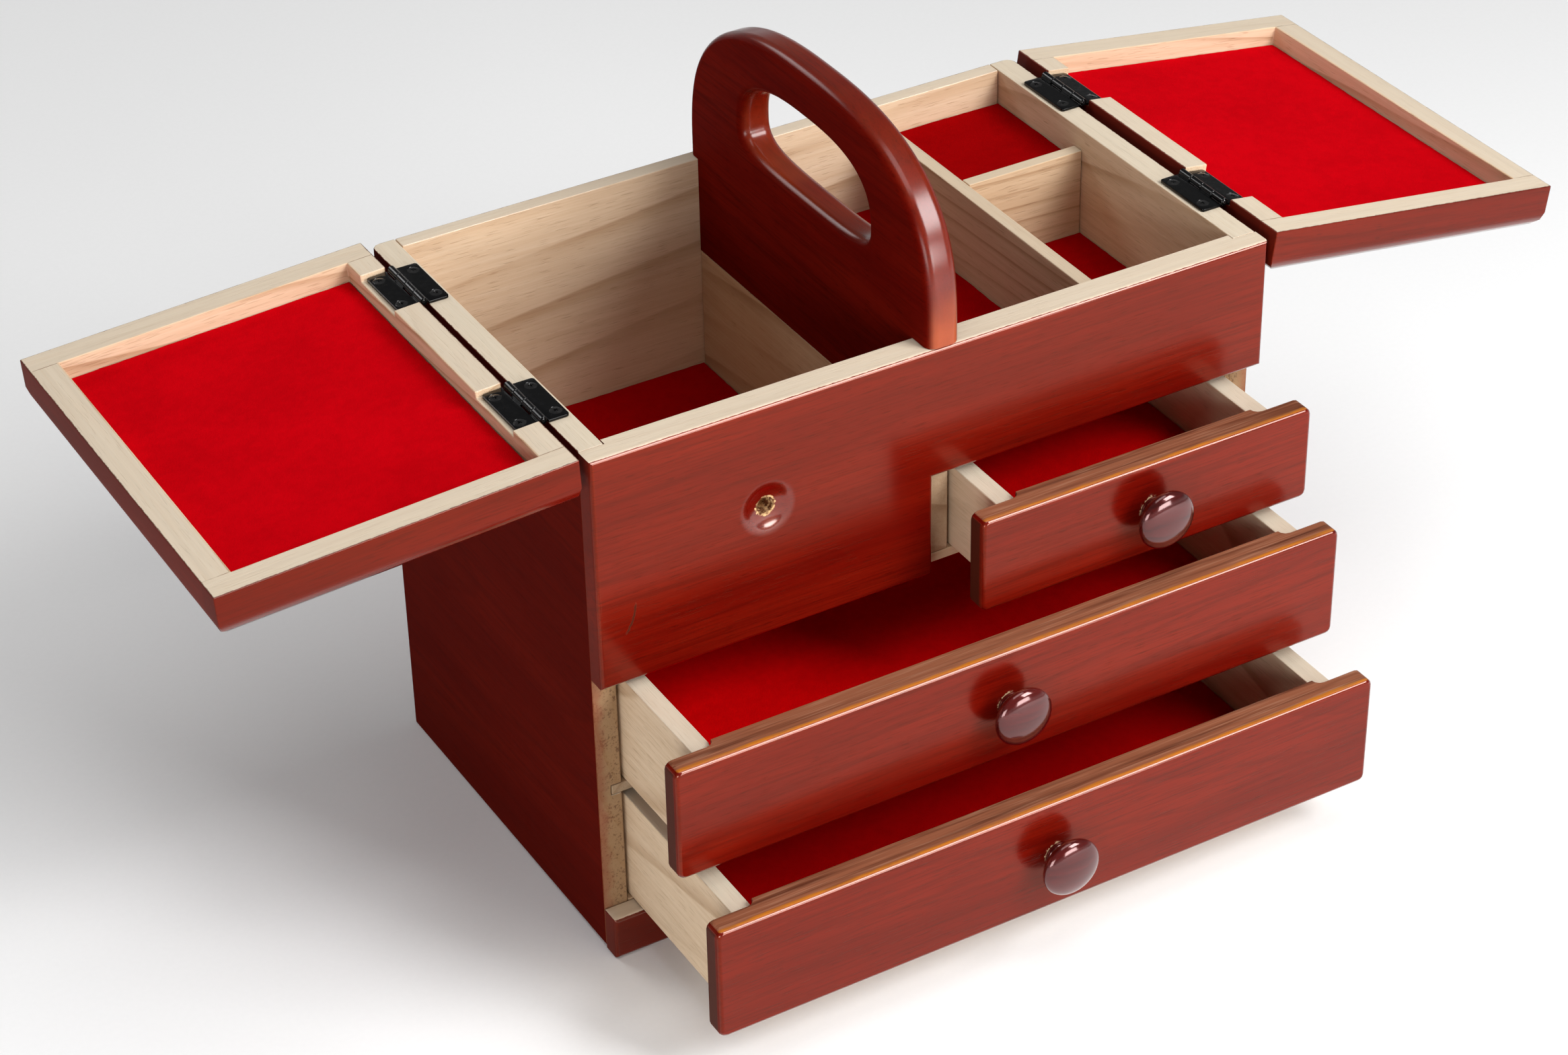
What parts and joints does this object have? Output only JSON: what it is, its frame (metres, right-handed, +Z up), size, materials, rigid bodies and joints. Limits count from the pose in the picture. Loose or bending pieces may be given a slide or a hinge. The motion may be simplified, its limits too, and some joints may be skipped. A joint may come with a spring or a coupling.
{
  "type": "wooden sewing box",
  "caption": "Wooden sewing box with a centre carry handle, hinged lids that fold out to each side, felt-lined trays on top and drawers with round knobs in front.",
  "frame": {"origin": "centre of the box's footprint, on the surface that it stands on", "axes": "+X to the right along the box, -Y to the front where the drawers pull out, +Z up"},
  "size_m": [0.59, 0.282, 0.31],
  "materials": {
    "lacquer": "gloss",
    "raw_wood": "matte",
    "felt": "matte",
    "black_steel": "satin",
    "knob_lacquer": "gloss"
  },
  "bodies": {
    "box": {"base_board": "raw_wood", "main_floor": "raw_wood", "partition_panel": "raw_wood", "tray_floor": "raw_wood", "long_divider": "raw_wood", "cross_divider": "raw_wood", "raised_shelf": "raw_wood", "drawer_runner_left": "raw_wood", "drawer_runner_right": "raw_wood", "base_runner_left": "raw_wood", "base_runner_right": "raw_wood", "bottom_rail": "lacquer", "back_panel": "lacquer", "side_left": "lacquer", "side_right": "lacquer", "front_panel": "lacquer", "handle_board": "lacquer", "felt_left": "felt", "felt_middle": "felt", "felt_cell": "felt", "felt_shelf": "felt", "hinge_left_back_box_leaf": "black_steel", "hinge_left_back_pin": "black_steel", "hinge_left_front_box_leaf": "black_steel", "hinge_left_front_pin": "black_steel", "hinge_right_back_box_leaf": "black_steel", "hinge_right_back_pin": "black_steel", "hinge_right_front_box_leaf": "black_steel", "hinge_right_front_pin": "black_steel"},
    "small_drawer": {"small_drawer_front": "lacquer", "small_drawer_side_left": "raw_wood", "small_drawer_side_right": "raw_wood", "small_drawer_back": "raw_wood", "small_drawer_bottom": "raw_wood", "small_drawer_felt": "felt", "small_knob": "knob_lacquer"},
    "middle_drawer": {"middle_drawer_front": "lacquer", "middle_drawer_side_left": "raw_wood", "middle_drawer_side_right": "raw_wood", "middle_drawer_back": "raw_wood", "middle_drawer_bottom": "raw_wood", "middle_drawer_felt": "felt", "middle_knob": "knob_lacquer"},
    "bottom_drawer": {"bottom_drawer_front": "lacquer", "bottom_drawer_side_left": "raw_wood", "bottom_drawer_side_right": "raw_wood", "bottom_drawer_back": "raw_wood", "bottom_drawer_bottom": "raw_wood", "bottom_drawer_felt": "felt", "bottom_knob": "knob_lacquer"},
    "left_lid": {"left_lid_frame": "lacquer", "left_lid_panel": "lacquer", "left_lid_felt": "felt", "hinge_left_back_lid_leaf": "black_steel", "hinge_left_front_lid_leaf": "black_steel"},
    "right_lid": {"right_lid_frame": "lacquer", "right_lid_panel": "lacquer", "right_lid_felt": "felt", "hinge_right_back_lid_leaf": "black_steel", "hinge_right_front_lid_leaf": "black_steel"}
  },
  "joints": [
    {"name": "small_drawer_slide", "type": "slide", "parent": "box", "child": "small_drawer", "axis": [0, -1, 0], "range_m": [-0.034, 0.101]},
    {"name": "middle_drawer_slide", "type": "slide", "parent": "box", "child": "middle_drawer", "axis": [0, -1, 0], "range_m": [-0.0563, 0.0787]},
    {"name": "bottom_drawer_slide", "type": "slide", "parent": "box", "child": "bottom_drawer", "axis": [0, -1, 0], "range_m": [-0.084, 0.051]},
    {"name": "left_lid_hinge", "type": "hinge", "parent": "box", "child": "left_lid", "pos_m": [-0.1519, 0, 0.2342], "axis": [0, 1, 0], "range_deg": [0, 182.95]},
    {"name": "right_lid_hinge", "type": "hinge", "parent": "box", "child": "right_lid", "pos_m": [0.1519, 0, 0.2342], "axis": [0, -1, 0], "range_deg": [0, 188.42]}
  ]
}
